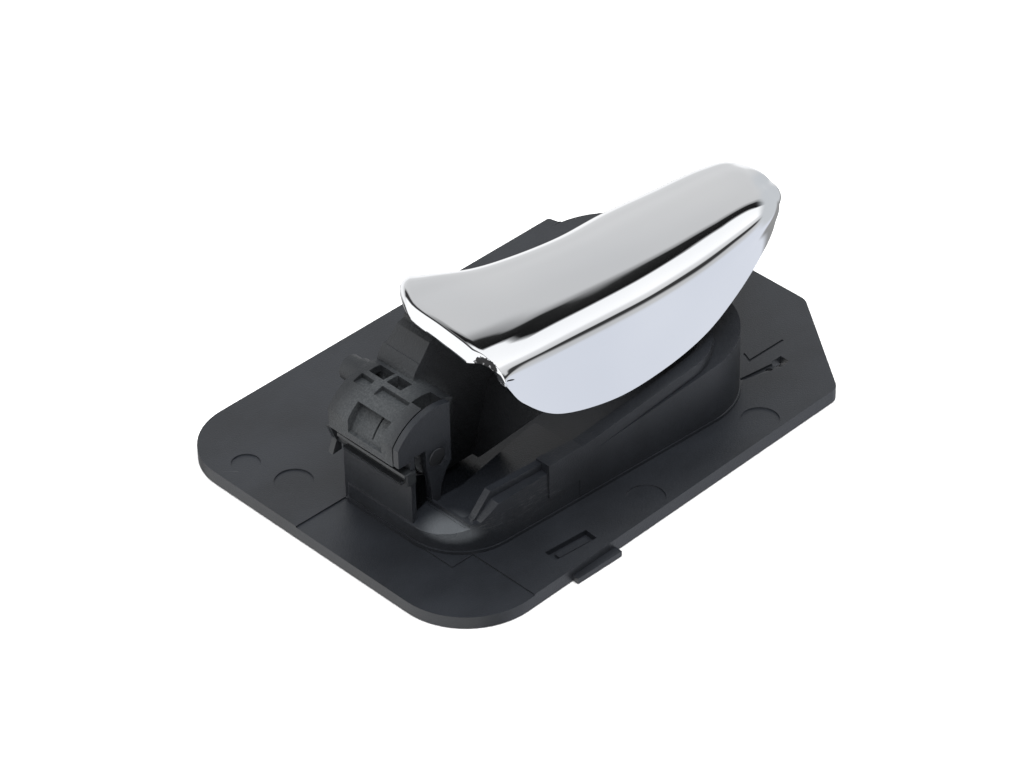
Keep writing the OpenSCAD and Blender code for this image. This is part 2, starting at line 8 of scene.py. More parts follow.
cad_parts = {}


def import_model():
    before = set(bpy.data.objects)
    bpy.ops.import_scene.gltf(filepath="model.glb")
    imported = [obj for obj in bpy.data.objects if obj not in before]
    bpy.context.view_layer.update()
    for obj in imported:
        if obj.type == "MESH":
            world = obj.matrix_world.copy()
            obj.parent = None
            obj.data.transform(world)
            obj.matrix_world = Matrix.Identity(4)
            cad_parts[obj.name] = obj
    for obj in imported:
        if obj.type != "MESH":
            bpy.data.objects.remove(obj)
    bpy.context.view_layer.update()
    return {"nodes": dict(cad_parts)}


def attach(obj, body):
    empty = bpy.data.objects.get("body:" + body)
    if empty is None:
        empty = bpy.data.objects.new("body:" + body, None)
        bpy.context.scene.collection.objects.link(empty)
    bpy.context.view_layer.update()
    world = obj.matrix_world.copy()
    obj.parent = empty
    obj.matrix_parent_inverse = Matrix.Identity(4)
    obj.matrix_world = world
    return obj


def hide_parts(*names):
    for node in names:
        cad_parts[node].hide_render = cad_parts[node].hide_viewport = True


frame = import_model()

MM = 0.001


# Node graphs

class Graph:
    """A few short calls for building a material's or the world's nodes."""

    def __init__(self, owner):
        owner.use_nodes = True
        self.tree = owner.node_tree
        self.tree.nodes.clear()

    def node(self, kind, **settings):
        made = self.tree.nodes.new(kind)
        for name, value in settings.items():
            setattr(made, name, value)
        return made

    def link(self, source, target):
        self.tree.links.new(source, target)

    def fill(self, socket, value):
        if isinstance(value, bpy.types.NodeSocket):
            self.link(value, socket)
        else:
            socket.default_value = value

    def maths(self, operation, a, b=0.0, clamp=False):
        made = self.node("ShaderNodeMath", operation=operation, use_clamp=clamp)
        self.fill(made.inputs[0], a)
        self.fill(made.inputs[1], b)
        return made.outputs[0]

    def unsigned(self, value):
        """A component of a direction, moved from the range -1 to 1 into 0 to 1."""
        return self.maths("ADD", self.maths("MULTIPLY", value, 0.5), 0.5)

    def ramp(self, value, stops, smooth=True):
        made = self.node("ShaderNodeValToRGB")
        made.color_ramp.interpolation = "EASE" if smooth else "LINEAR"
        points = made.color_ramp.elements
        while len(points) < len(stops):
            points.new(0.5)
        for point, (place, grey) in zip(points, stops):
            point.position = place
            shade = grey if isinstance(grey, tuple) else (grey, grey, grey)
            point.color = shade + (1.0,)
        self.fill(made.inputs[0], value)
        return made.outputs[0]

    def blend(self, factor, a, b):
        made = self.node("ShaderNodeMix", data_type="RGBA")
        self.fill(made.inputs[0], factor)
        self.fill(made.inputs[6], a)
        self.fill(made.inputs[7], b)
        return made.outputs[2]

    def noise(self, place, scale, detail=3.0, rough=0.5):
        made = self.node("ShaderNodeTexNoise")
        made.inputs["Scale"].default_value = scale
        made.inputs["Detail"].default_value = detail
        made.inputs["Roughness"].default_value = rough
        self.link(place, made.inputs["Vector"])
        return made.outputs["Fac"]

    def place(self, scale=(1, 1, 1), turn=(0, 0, 0)):
        coords = self.node("ShaderNodeTexCoord")
        mapping = self.node("ShaderNodeMapping")
        mapping.inputs["Scale"].default_value = scale
        mapping.inputs["Rotation"].default_value = turn
        self.link(coords.outputs["Object"], mapping.inputs["Vector"])
        return mapping.outputs["Vector"]

    def near(self, centre, radii):
        """1 at a point of the object, falling to 0 on an ellipsoid round it, both in mm."""
        coords = self.node("ShaderNodeTexCoord")
        mapping = self.node("ShaderNodeMapping", vector_type="POINT")
        mapping.inputs["Location"].default_value = [-c / r for c, r in zip(centre, radii)]
        mapping.inputs["Scale"].default_value = [1 / (MM * r) for r in radii]
        self.link(coords.outputs["Object"], mapping.inputs["Vector"])
        length = self.node("ShaderNodeVectorMath", operation="LENGTH")
        self.link(mapping.outputs["Vector"], length.inputs[0])
        return self.maths("SUBTRACT", 1.0, length.outputs["Value"], clamp=True)

    def bump(self, height, strength, distance):
        made = self.node("ShaderNodeBump")
        made.inputs["Strength"].default_value = strength
        made.inputs["Distance"].default_value = distance
        self.link(height, made.inputs["Height"])
        return made.outputs["Normal"]

    def shader(self, base, rough, metallic=0.0, normal=None, ior=1.45):
        made = self.node("ShaderNodeBsdfPrincipled")
        self.fill(made.inputs["Base Color"], base)
        self.fill(made.inputs["Roughness"], rough)
        made.inputs["Metallic"].default_value = metallic
        made.inputs["IOR"].default_value = ior
        if normal is not None:
            self.link(normal, made.inputs["Normal"])
        return made.outputs[0]

    def finish(self, shader):
        out = self.node("ShaderNodeOutputMaterial")
        self.link(shader, out.inputs["Surface"])


def rgb(*values):
    return (*values, 1.0)


def black_plastic(name, shade, rough, grain, grain_depth, scuffs_and_glare=False, lit_drum_and_grain=False):
    """Moulded black plastic: spark-eroded grain, faint flow marks, dust in places; optionally a painted glare
    on the step and the drum painted lighter where light falls.
    """
    mat = bpy.data.materials.new(name)
    g = Graph(mat)
    fine = g.noise(g.place(), grain, 2.0, 0.6)
    cloud = g.noise(g.place(scale=(1, 1.6, 1)), 45.0, 4.0, 0.6)
    dark = rgb(*[0.82 * c for c in shade])
    light = rgb(*[1.25 * c for c in shade])
    base = g.blend(g.ramp(cloud, [(0.3, 0.0), (0.7, 1.0)]), dark, light)
    roughness = g.maths("ADD", rough - 0.05, g.maths("MULTIPLY", cloud, 0.12))
    if scuffs_and_glare:
        streaks = g.noise(g.place(scale=(60, 60, 900), turn=(0.0, -0.7, 0.25)), 9.0, 3.0, 0.7)
        wear = g.maths("ADD", g.near((-30, -29.5, 9), (11, 5, 5.5)),
                       g.near((-41, -27, 9), (5, 4, 3)), clamp=True)
        mark = g.maths("MULTIPLY", g.ramp(streaks, [(0.5, 0.0), (0.72, 1.0)]), wear)
        base = g.blend(g.maths("MULTIPLY", mark, 0.55), base, rgb(0.17, 0.175, 0.18))
        shiny = g.near((-46.5, -22, 8), (7, 7, 4))
        roughness = g.maths("SUBTRACT", roughness, g.maths("MULTIPLY", shiny, 0.18))
        # Painted highlight: a lighter patch on the step's domed corner stands in for glare
        painted_glare = g.ramp(g.near((-46.8, -23.5, 7.8), (8.5, 9, 3.2)), [(0.1, 0.0), (0.7, 1.0)])
        base = g.blend(painted_glare, base, rgb(0.085, 0.092, 0.10))
    if lit_drum_and_grain:
        # Painted light: the drum is painted lighter, as where light falls on it, with grain specks; the neck
        # stays darker, as in shade
        painted_drum_light = g.ramp(g.near((-43, -5, 19.5), (15, 15, 14.5)), [(0.02, 0.0), (0.2, 1.0)])
        speck = g.ramp(fine, [(0.35, 0.0), (0.7, 1.0)])
        base = g.blend(painted_drum_light, base, g.blend(speck, rgb(0.026, 0.029, 0.032), rgb(0.046, 0.050, 0.053)))
    normal = g.bump(fine, 0.5, grain_depth)
    g.finish(g.shader(base, roughness, normal=normal, ior=1.5))
    return mat


def plated(name):
    """Bright plating on plastic, slightly wavy, with a chip at the hinge end's near corner."""
    mat = bpy.data.materials.new(name)
    g = Graph(mat)
    wave = g.noise(g.place(scale=(1, 1.5, 1)), 22.0, 2.0, 0.45)
    speck = g.noise(g.place(), 900.0, 2.0, 0.6)
    base = g.blend(g.ramp(wave, [(0.3, 0.0), (0.7, 1.0)]), rgb(0.80, 0.815, 0.84), rgb(0.86, 0.87, 0.885))
    rough = g.maths("ADD", 0.02, g.maths("MULTIPLY", speck, 0.03))
    metal = g.shader(base, rough, 1.0, g.bump(wave, 0.08, 0.0006))
    edge = g.noise(g.place(), 700.0, 4.0, 0.65)
    chip = g.maths("ADD", g.near((-34.6, -21.7, 40.3), (1.9, 4.9, 2.4)),
                   g.maths("MULTIPLY", g.maths("SUBTRACT", edge, 0.5), 0.9))
    torn = g.ramp(chip, [(0.33, 0.0), (0.36, 1.0)], smooth=False)
    flecks = g.ramp(g.noise(g.place(), 1500.0, 2.0, 0.5), [(0.60, 0.0), (0.68, 1.0)])
    under = g.shader(g.blend(flecks, rgb(0.008, 0.008, 0.009), rgb(0.30, 0.30, 0.31)), 0.6,
                     normal=g.bump(edge, 0.9, 0.0006))
    both = g.node("ShaderNodeMixShader")
    g.link(torn, both.inputs[0])
    g.link(metal, both.inputs[1])
    g.link(under, both.inputs[2])
    g.finish(both.outputs[0])
    return mat


def steel(name, shade, rough):
    mat = bpy.data.materials.new(name)
    g = Graph(mat)
    drawn = g.noise(g.place(scale=(1, 0.05, 1)), 2600.0, 3.0, 0.6)
    base = g.blend(drawn, rgb(*[0.8 * c for c in shade]), rgb(*shade))
    roughness = g.maths("ADD", rough, g.maths("MULTIPLY", drawn, 0.12))
    g.finish(g.shader(base, roughness, 1.0, g.bump(drawn, 0.2, 0.0001)))
    return mat


MAT = {
    "moulding": black_plastic("black_moulding", (0.0115, 0.0132, 0.0165), 0.38, 3000.0, 0.0001, True),
    "lever": black_plastic("black_lever", (0.0135, 0.015, 0.0172), 0.55, 2300.0, 0.0003, lit_drum_and_grain=True),
    "clip": black_plastic("black_clip", (0.017, 0.019, 0.021), 0.32, 3000.0, 0.00004),
    "rubber": black_plastic("black_rubber", (0.012, 0.012, 0.012), 0.75, 2000.0, 0.00008),
    "plating": plated("bright_plating"),
    "steel": steel("blackened_steel", (0.10, 0.102, 0.106), 0.38),
    "spring": steel("spring_wire", (0.38, 0.38, 0.39), 0.34),
}


# Pieces

BEVEL_ANGLE = 28
SHARP_ANGLE = 40


def object_from(name, mesh, material):
    made = bpy.data.objects.new(name, mesh)
    bpy.context.scene.collection.objects.link(made)
    mesh.materials.clear()
    mesh.materials.append(MAT[material])
    return made


def applied(obj):
    """The object's mesh with its modifiers applied."""
    graph = bpy.context.evaluated_depsgraph_get()
    mesh = bpy.data.meshes.new_from_object(obj.evaluated_get(graph))
    obj.modifiers.clear()
    obj.data = mesh
    return obj


def softened(form, node, name, material, width, body):
    """A moulding with its sharp edges rounded, as a real mould leaves them; the form is in mm."""
    mesh = form.data
    bpy.data.objects.remove(form)
    mesh.transform(Matrix.Scale(MM, 4))
    bm = bmesh.new()
    bm.from_mesh(mesh)
    bmesh.ops.remove_doubles(bm, verts=bm.verts, dist=2e-6)
    bmesh.ops.dissolve_limit(bm, angle_limit=math.radians(1.0), verts=bm.verts, edges=bm.edges)
    bm.to_mesh(mesh)
    bm.free()
    made = object_from(name, mesh, material)
    bevel = made.modifiers.new("edges", "BEVEL")
    bevel.width = width * MM
    bevel.segments = 2
    bevel.limit_method = "ANGLE"
    bevel.angle_limit = math.radians(BEVEL_ANGLE)
    bevel.use_clamp_overlap = True
    bevel.miter_outer = "MITER_ARC"
    made = applied(made)
    mesh = made.data
    mesh.materials.clear()
    mesh.materials.append(MAT[material])
    bm = bmesh.new()
    bm.from_mesh(mesh)
    bmesh.ops.triangulate(bm, faces=bm.faces)
    bm.to_mesh(mesh)
    bm.free()
    for poly in mesh.polygons:
        poly.use_smooth = True
    mesh.set_sharp_from_angle(angle=math.radians(SHARP_ANGLE))
    weighted = made.modifiers.new("normals", "WEIGHTED_NORMAL")
    weighted.keep_sharp = True
    made = applied(made)
    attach(made, body)
    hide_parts(node)
    return made


# Plated cover: the same rails as the solid has, sampled more finely

FAR = np.array([[-27, 6.2, 44.9], [-23.8, 5.4, 43.7], [-16, 2.8, 42.1], [-6, 1.4, 40.8], [6, 0.8, 39.6],
                [19, 1.7, 38.4], [32, 1.2, 37.6], [45.5, 0.2, 37.1], [52.5, -2.1, 36.4], [55.0, -9.0, 34.0]])
RIDGE = np.array([[-33.8, -19, 42.6], [-27, -18.6, 42.3], [-17, -17.5, 41.9], [-6, -17.3, 41.3],
                  [7, -17.6, 40.5], [20, -17.6, 39.8], [32, -17.2, 39.2], [43, -16.4, 38.3],
                  [50, -14.6, 36.6], [55.4, -10.9, 33.3]])
LOW = np.array([[-33.2, -25.4, 39.2], [-26, -25.8, 38.9], [-16, -25.8, 38.5], [-5, -25.9, 37.9],
                [7, -25.8, 37.2], [20, -24.8, 36.8], [32, -23.4, 36.4], [43, -21.4, 35.8],
                [50.5, -17.8, 34.4], [55.4, -12.1, 32.5]])
SKIRT = np.array([[-33.4, -25.7, 37.2], [-28.6, -25.6, 30.4], [-20.4, -26.8, 24.2], [-6.9, -27.8, 20.9],
                  [6.1, -27.8, 20.6], [18.1, -27.8, 22.8], [29.3, -25.5, 25], [40.6, -22, 27.7],
                  [50.3, -17, 28.6], [55.0, -12.6, 31.4]])
CROWN = 0.6
WALL = 1.8
END_DROP = 4.4
END_ROLL = 2.4
LIP = 1.1
BULGE = ((0, 1, 2, 3, 4, 5, 6), (0, 0.4, 2, 4.3, 2.4, 0.3, 0))
OUT_X = ((0, 1, 2, 3, 5.2, 6, 7, 10), (0.3, 0.4, 0.8, 1, 1, 0.35, 0.12, 0.1))
OUT_Y = ((0, 2, 3), (0.4, 0.4, 0))
FALL = (tuple(range(11)), (0.05, 0.3, 0.5, 0.56, 0.62, 0.62, 0.4, 0.15, 0.08, 0.05, 0.02))
PER_SPAN = 6
STATIONS = 120
# Degrees that the hinge end is rolled through; past 90 it drops straight
END_TURNS = (100, 99.6, 97, 93, 90, 78, 66, 54, 42, 30, 20, 10)


def unit(v):
    return v / np.linalg.norm(v)


def along(p, s):
    n = len(p) - 1
    i = min(int(math.floor(s * n)), n - 1)
    t = s * n - i
    a = 2 * p[0] - p[1] if i == 0 else p[i - 1]
    d = 2 * p[n] - p[n - 1] if i == n - 1 else p[i + 2]
    b, c = p[i], p[i + 1]
    if i == n - 1:
        # The nose is a dome: the rails run on and then close in across the handle
        start, end = (c - a) / 2, (c - b) * np.array([0, 1.7, 1.7])
        return (b * (2 * t ** 3 - 3 * t * t + 1) + start * (t ** 3 - 2 * t * t + t)
                + c * (3 * t * t - 2 * t ** 3) + end * (t ** 3 - t * t))
    return 0.5 * (2 * b + (c - a) * t + (2 * a - 5 * b + 4 * c - d) * t * t
                  + (3 * b - a - 3 * c + d) * t ** 3)


def bend(points, k):
    p = np.array(points)
    n = len(p) - 1
    d = [max(0.05, np.linalg.norm(p[i + 1] - p[i])) for i in range(n)]
    v = [(p[i + 1] - p[i]) / d[i] for i in range(n)]
    m = [v[0]] + [(v[i] * d[i - 1] + v[i - 1] * d[i]) / (d[i] + d[i - 1]) for i in range(1, n)] + [v[-1]]
    out = []
    for i in range(n):
        for j in range(k):
            t = j / k
            out.append(p[i] * (2 * t ** 3 - 3 * t * t + 1) + m[i] * d[i] * (t ** 3 - 2 * t * t + t)
                       + p[i + 1] * (3 * t * t - 2 * t ** 3) + m[i + 1] * d[i] * (t ** 3 - t * t))
    out.append(p[n])
    return out


def outer_points(s):
    f, r, l, k = (along(rail, s) for rail in (FAR, RIDGE, LOW, SKIRT))
    g = min(1.0, np.linalg.norm(f - r) / 9)
    fr, rl, lk = unit(r - f), unit(l - r), unit(k - l)
    up = np.array([0, 0, CROWN * g])
    y = np.array([0, 1.0, 0])
    z = np.array([0, 0, 1.0])
    pts = [f + (0.5 * y - 3.4 * z) * g, f + (0.2 * y - 1.3 * z) * g, f + fr * 1.3 * g,
           f + (r - f) * 0.3 + up, f + (r - f) * 0.65 + up, r - fr * 1.6 * g, r + rl * 1.4 * g,
           l - rl * 1.1 * g, l + lk * 1.1 * g, (l + k) / 2 + 0.2 * y * g, k]
    fade = max(0.0, 1 - s / 0.2) ** 2
    return [p - np.array([np.interp(i, *BULGE) * fade, 0, 0]) for i, p in enumerate(pts)], g


def inner_points(o, g):
    w = WALL * g
    shift = [(-w, 0), (-w, -0.3 * w), (-0.7 * w, -w), (0, -w), (0, -w), (0, -w), (0.45 * w, -0.95 * w),
             (0.8 * w, -0.8 * w), (w, -0.4 * w), (w, 0), (0.75 * w, 0)]
    return [p + np.array([-0.9 * (1 - g), a, b]) for p, (a, b) in zip(o, shift)]


def cover_mesh(per_span, stations, turns):
    def ring(s):
        o, g = outer_points(s)
        return bend(o, per_span), bend(inner_points(o, g), per_span)

    o0, q0 = ring(0)
    count = len(o0)
    rings = []
    for a in turns:
        turn = math.radians(min(a, 90))
        o, q = [], []
        for j in range(count):
            u = 10 * j / (count - 1)
            out = np.array([-np.interp(u, *OUT_X), np.interp(u, *OUT_Y), 0])
            fall = np.interp(u, *FALL)
            rolled = END_ROLL * (1 - math.cos(turn)) * min(1.0, 1.6 * fall)
            straight = max(0.0, (a - 90) / 10) * max(0.0, END_DROP * fall - rolled)
            o.append(o0[j] + out * END_ROLL * math.sin(turn) - np.array([0, 0, rolled + straight]))
            edge = o0[j][2] - END_DROP * fall
            low = q0[j][2] + (min(q0[j][2], edge) - q0[j][2]) * max(0.0, (a - 90) / 10)
            q.append(np.array([q0[j][0], q0[j][1], low]) + out * (END_ROLL - LIP) * math.sin(turn))
        rings.append(o + q[::-1])
    for i in range(stations + 1):
        o, q = ring(i / stations)
        rings.append(o + q[::-1])
    n = 2 * count
    m = len(rings)
    verts = [Vector(p) * MM for r in rings for p in r]
    faces = [(i * n + j, i * n + (j + 1) % n, (i + 1) * n + (j + 1) % n, (i + 1) * n + j)
             for i in range(m - 1) for j in range(n)]
    faces += [(j, n - 1 - j, n - 2 - j, j + 1) for j in range(count - 1)]
    b = (m - 1) * n
    faces += [(b + j, b + j + 1, b + n - 2 - j, b + n - 1 - j) for j in range(count - 1)]
    mesh = bpy.data.meshes.new("plated_cover")
    mesh.from_pydata(verts, [], faces)
    mesh.validate()
    bm = bmesh.new()
    bm.from_mesh(mesh)
    bmesh.ops.recalc_face_normals(bm, faces=bm.faces)
    bm.to_mesh(mesh)
    bm.free()
    for poly in mesh.polygons:
        poly.use_smooth = True
    mesh.set_sharp_from_angle(angle=math.radians(55))
    return mesh


cover = object_from("plated_cover", cover_mesh(PER_SPAN, STATIONS, END_TURNS), "plating")
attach(cover, "lever")
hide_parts("lever_cover")

# Mouldings: the hinge end in the photo's finer form, built by the same kind of cuts as the solids

PIVOT = (-42.2, 19.5)
WALL_X, INNER_X = PIVOT[0] - 6.9, PIVOT[0] - 5.2
HUB_R, DRUM_R, DRUM_IN = 4.2, 11.9, 9.2
HUB_Y0, HUB_Y1 = -13.7, 4.6
CHEEK_Y0, CHEEK_Y1 = -15.4, -14.0
EAR_Y0, EAR_Y1 = 4.9, 6.7
NECK_Y0 = -5.8
FLANGE_H = 3.0
PIN_R = 2
PIN_GAP = 0.05
RING_R = 3.5
EYE = (PIVOT[0] + 0.6, PIVOT[1] + 8)
EYE_R = 1.75


def direction(a):
    return np.array([math.cos(math.radians(a)), math.sin(math.radians(a))])


def about(r, a):
    return tuple(np.array(PIVOT) + r * direction(a))


def ledge(x):
    return 14.76 + 0.111 * x


def rounded(outline):
    """Points of an anticlockwise outline whose corners are [x, y, radius]."""
    out = []
    for i, (x, y, r) in enumerate(outline):
        p = np.array([x, y])
        if r <= 0:
            out.append(tuple(p))
            continue
        a = unit(np.array(outline[i - 1][:2]) - p)
        b = unit(np.array(outline[(i + 1) % len(outline)][:2]) - p)
        half = math.acos(float(a @ b)) / 2
        centre = p + unit(a + b) * (r / math.sin(half))
        s, e = p + a * r / math.tan(half) - centre, p + b * r / math.tan(half) - centre
        a0, a1 = (math.degrees(math.atan2(v[1], v[0])) for v in (s, e))
        turn = (a1 - a0 + 540) % 360 - 180
        steps = max(4, math.ceil(r))
        out += [tuple(centre + r * direction(a0 + turn * k / steps)) for k in range(steps + 1)]
    return out


def inset(outline, d):
    out = []
    for i, corner in enumerate(outline):
        p = np.array(corner[:2])
        a = unit(p - np.array(outline[i - 1][:2]))
        b = unit(np.array(outline[(i + 1) % len(outline)][:2]) - p)
        na, nb = np.array([-a[1], a[0]]), np.array([-b[1], b[0]])
        q = p + (na + nb) * (d / (1 + na @ nb))
        r = corner[2]
        if r > 0:
            r = max(0.2, r + (d if a[0] * b[1] - a[1] * b[0] < 0 else -d))
        out.append((q[0], q[1], r))
    return out


def prism(points, low, high, across):
    """A straight prism; across is the axis it runs along."""
    order = {"x": lambda a, b, h: (h, a, b),
             "y": lambda a, b, h: (a, h, b),
             "z": lambda a, b, h: (a, b, h)}[across]
    n = len(points)
    mesh = bpy.data.meshes.new("prism")
    mesh.from_pydata([order(*p, low) for p in points] + [order(*p, high) for p in points], [],
                     [tuple(range(n)), tuple(range(2 * n - 1, n - 1, -1))]
                     + [(i, (i + 1) % n, n + (i + 1) % n, n + i) for i in range(n)])
    bm = bmesh.new()
    bm.from_mesh(mesh)
    bmesh.ops.recalc_face_normals(bm, faces=bm.faces)
    bm.to_mesh(mesh)
    bm.free()
    made = bpy.data.objects.new("prism", mesh)
    bpy.context.scene.collection.objects.link(made)
    return made


def plan(outline, z0, z1):
    return prism(rounded(outline), z0, z1, "z")


def slab(y0, y1, points):
    return prism(points, y0, y1, "y")


def circle(x, y, r, n=48):
    return [tuple(np.array([x, y]) + r * direction(360 * i / n)) for i in range(n)]


def rod(x, z, r, y0, y1):
    return slab(y0, y1, circle(x, z, r))


def disc(x, y, r, z0, z1):
    return prism(circle(x, y, r), z0, z1, "z")


def block(x0, x1, y0, y1, z0, z1):
    return prism([(x0, y0), (x1, y0), (x1, y1), (x0, y1)], z0, z1, "z")


def sector(r0, r1, a0, a1, y0, y1):
    steps = max(2, math.ceil((a1 - a0) / 4))
    arc = [about(r1, a0 + (a1 - a0) * i / steps) for i in range(steps + 1)]
    back = [about(r0, a1 + (a0 - a1) * i / steps) for i in range(steps + 1)] if r0 > 0 else [PIVOT]
    return slab(y0, y1, arc + back)


def combined(operation, base, others):
    for other in others:
        step = base.modifiers.new("step", "BOOLEAN")
        step.operation = operation
        step.object = other
        step.solver = "MANIFOLD"
    base = applied(base)
    for other in others:
        bpy.data.objects.remove(other)
    return base


def fuse(base, *others):
    return combined("UNION", base, others)


def carve(base, *others):
    return combined("DIFFERENCE", base, others)


def common(base, other):
    return combined("INTERSECT", base, [other])


PLATE = [(-62.3, -44.3, 16), (44.4, -40.5, 3), (62.3, -15.3, 4), (62.3, 41.3, 19), (46.2, 41.3, 0.6),
         (45.6, 44, 0.8), (-62.3, 42, 14)]
PAN = [(-49.8, -28.3, 13), (36.2, -31.8, 16.5), (35.5, 19.5, 12), (-26, 19.5, 6), (-27, 8.4, 3),
       (-45, 8.4, 1), (-45, 3.4, 0.8), (-49.8, 3.4, 1)]
RIM = [(-18, -29.4, 0.5), (26.5, -30.1, 12.5), (26.5, 16.8, 10), (-18, 16.8, 1)]
RECESS = [(-43.5, -24.3, 1.5), (-17, -26.5, 0), (23.8, -27, 9.5), (23.8, 15, 8), (-22.5, 15, 3),
          (-24.5, 4.9, 1), (INNER_X, 4.9, 0), (INNER_X, CHEEK_Y1, 0), (-43.5, CHEEK_Y1, 0)]
SHELF = [(-44.5, -25.2, 0), (-17, -27.2, 0), (-11, -27.4, 0), (-11, -9.9, 1), (-35.7, -15, 3),
         (-44.5, CHEEK_Y1 - 0.7, 0)]
STOP_A = 283


def stop_pt(r, h):
    return tuple(np.array(about(r, STOP_A)) + h * direction(STOP_A + 90))


def shelf_solid(d, z0, drop):
    def top(x):
        return 9 - 0.031 * (x + 44.5) - drop
    return common(plan(inset(SHELF, d), z0, 30),
                  slab(-40, 0, [(-50, z0 - 1), (-5, z0 - 1), (-5, top(-5)), (-50, top(-50))]))


def housing_form():
    px, pz = PIVOT
    flange = carve(plan(PLATE, 0, FLANGE_H), plan(inset(PLATE, 1.8), -1, 1))
    flange = fuse(flange, block(-33.5, -21.6, -44.7, -42, 0, 1.2))
    slot = carve(block(-5.2, 5.2, -1.6, 1.6, 0, 8), block(-3.6, 4, -0.9, 0.6, -1, 0.6))
    slot.data.transform(Matrix.Translation((-28.8, -38, 1.8)) @ Matrix.Rotation(math.radians(-4), 4, "Z"))
    face = FLANGE_H
    flange = carve(
        flange, disc(-53.2, 14.7, 4, face - 0.3, 5), disc(-8.1, -37.9, 4, face - 0.3, 5),
        disc(25.8, -36.6, 4, face - 0.3, 5), disc(-56.1, 25.8, 3, face - 0.3, 5), slot,
        block(41.2, 44.2, -27.6, -25.1, -1, 7), disc(39.4, -26.4, 0.8, -1, 7),
        prism([(31.4, -24.3), (33.2, -25.4), (41.5, -27.2), (41.5, -25.6)], face - 0.5, 5, "z"),
        prism([(-70, 3.9), (-70, -50), (-43.9, -50), (-43.9, -26.6), (-49.4, -26.6), (-49.4, 3.9)],
              face - 0.3, 5, "z"),
        prism([(39.3, -19.2), (38.2, -21.9), (48.6, -21.9), (48.6, -21.4), (38.9, -21.4), (39.8, -19.2)],
              face - 0.3, 5, "z"))
    body = common(plan(inset(PAN, 0.3), face - 1, 40), slab(-60, 60, [
        (-60, 0.4), (40, 0.4), (40, ledge(40)), (-44, ledge(-44)), (-44, 9), (-49.6, 6.9), (-60, 6.9)]))
    rim = common(plan(RIM, face, 40), slab(-60, 60, [
        (-18, 4), (40, 4), (40, ledge(40) + 2.8), (-18, ledge(-18) + 2.8)]))
    upright = common(plan(inset(RECESS, -1.5), face, 40), slab(-40, -20, [
        (-44, 4), (-17.5, 4), (-17.5, ledge(-18) + 2.8), (-38.6, 15.2), (-42.6, 10.4), (-44, 9.6)]))
    outer = common(plan(inset(PAN, 0.3), face, 40), slab(-40, -20, [
        (-44, 4), (-17.5, 4), (-17.5, ledge(-18) + 1.4), (-38.6, 13.4), (-43, 9.4), (-44, 8.9)]))
    made = fuse(flange, body, plan(PAN, face - 1, face + 0.7), rim, upright, outer,
                block(-26, -17, -29.4, -25.2, 8, ledge(-26) + 4))
    hollow = common(carve(plan(inset(PAN, 1.8), -1, 40), plan(inset(RECESS, -1.5), -2, 41)),
                    slab(-60, 60, [(-60, -2), (40, -2), (40, ledge(40) - 1.8), (-44, ledge(-44) - 1.8),
                                   (-44, 7.2), (-49.6, 5.1), (-60, 5.1)]))
    made = carve(made, plan(RECESS, face, 60), hollow)
    # Bracket that carries the hinge: front wall, near cheek and far ear
    cheek = fuse(
        common(rod(px, pz, DRUM_R, CHEEK_Y0, CHEEK_Y1),
               block(px - 9.9, px + 3.6, CHEEK_Y0 - 1, CHEEK_Y1 + 1, pz + 2.5, pz + 22.5)),
        slab(CHEEK_Y0, CHEEK_Y1, [(WALL_X, 6), (px + 0.1, 6), (px + 0.9, pz - 7), (px + 2.4, pz - 4),
                                  (px + 3.6, pz - 2.6), (px + 3.6, pz + 3), (WALL_X, pz + 3)]))
    cheek = carve(cheek, slab(CHEEK_Y0 - 1, CHEEK_Y1 + 1, [
        (WALL_X + 1.1, 7.6), (px - 1.5, 7.6), (px - 1.9, pz - 6), (px - 2.9, pz - 1),
        (px - 2.9, pz + 3.1), (WALL_X + 1.1, pz + 3.1)]))
    foot = stop_pt(7.4, 0)[0]
    made = fuse(
        made, shelf_solid(0, 1, 0), block(WALL_X, INNER_X, CHEEK_Y1 - 0.2, 4, face - 0.5, pz + 1.5), cheek,
        rod(px, pz, 3.4, EAR_Y0, EAR_Y1),
        slab(EAR_Y0, EAR_Y1, [(px - 3.35, pz), (px - 2.9, face - 0.5),
                              (px + 5, face - 0.5), (px + 3.35, pz)]),
        slab(-7.8, -6.1, [stop_pt(7.4, 0), stop_pt(7.4, 2.6), (stop_pt(7.4, 2.6)[0], face - 0.5),
                          (foot - 1, face - 0.5), (foot - 1, 9)]),
        block(-31.2, -26.6, -3.4, 2.4, face - 0.5, face + 0.2))
    return carve(
        made, shelf_solid(1.5, -1, 1.8), rod(px, pz, 5.75, CHEEK_Y1, -9.2),
        block(px - 5.45, INNER_X + 1, HUB_Y0, -11.4, 9.5, pz), rod(px, pz, PIN_R, CHEEK_Y0 - 1, CHEEK_Y1 + 1),
        rod(px, pz, PIN_R, EAR_Y0 - 1, EAR_Y1 + 1))


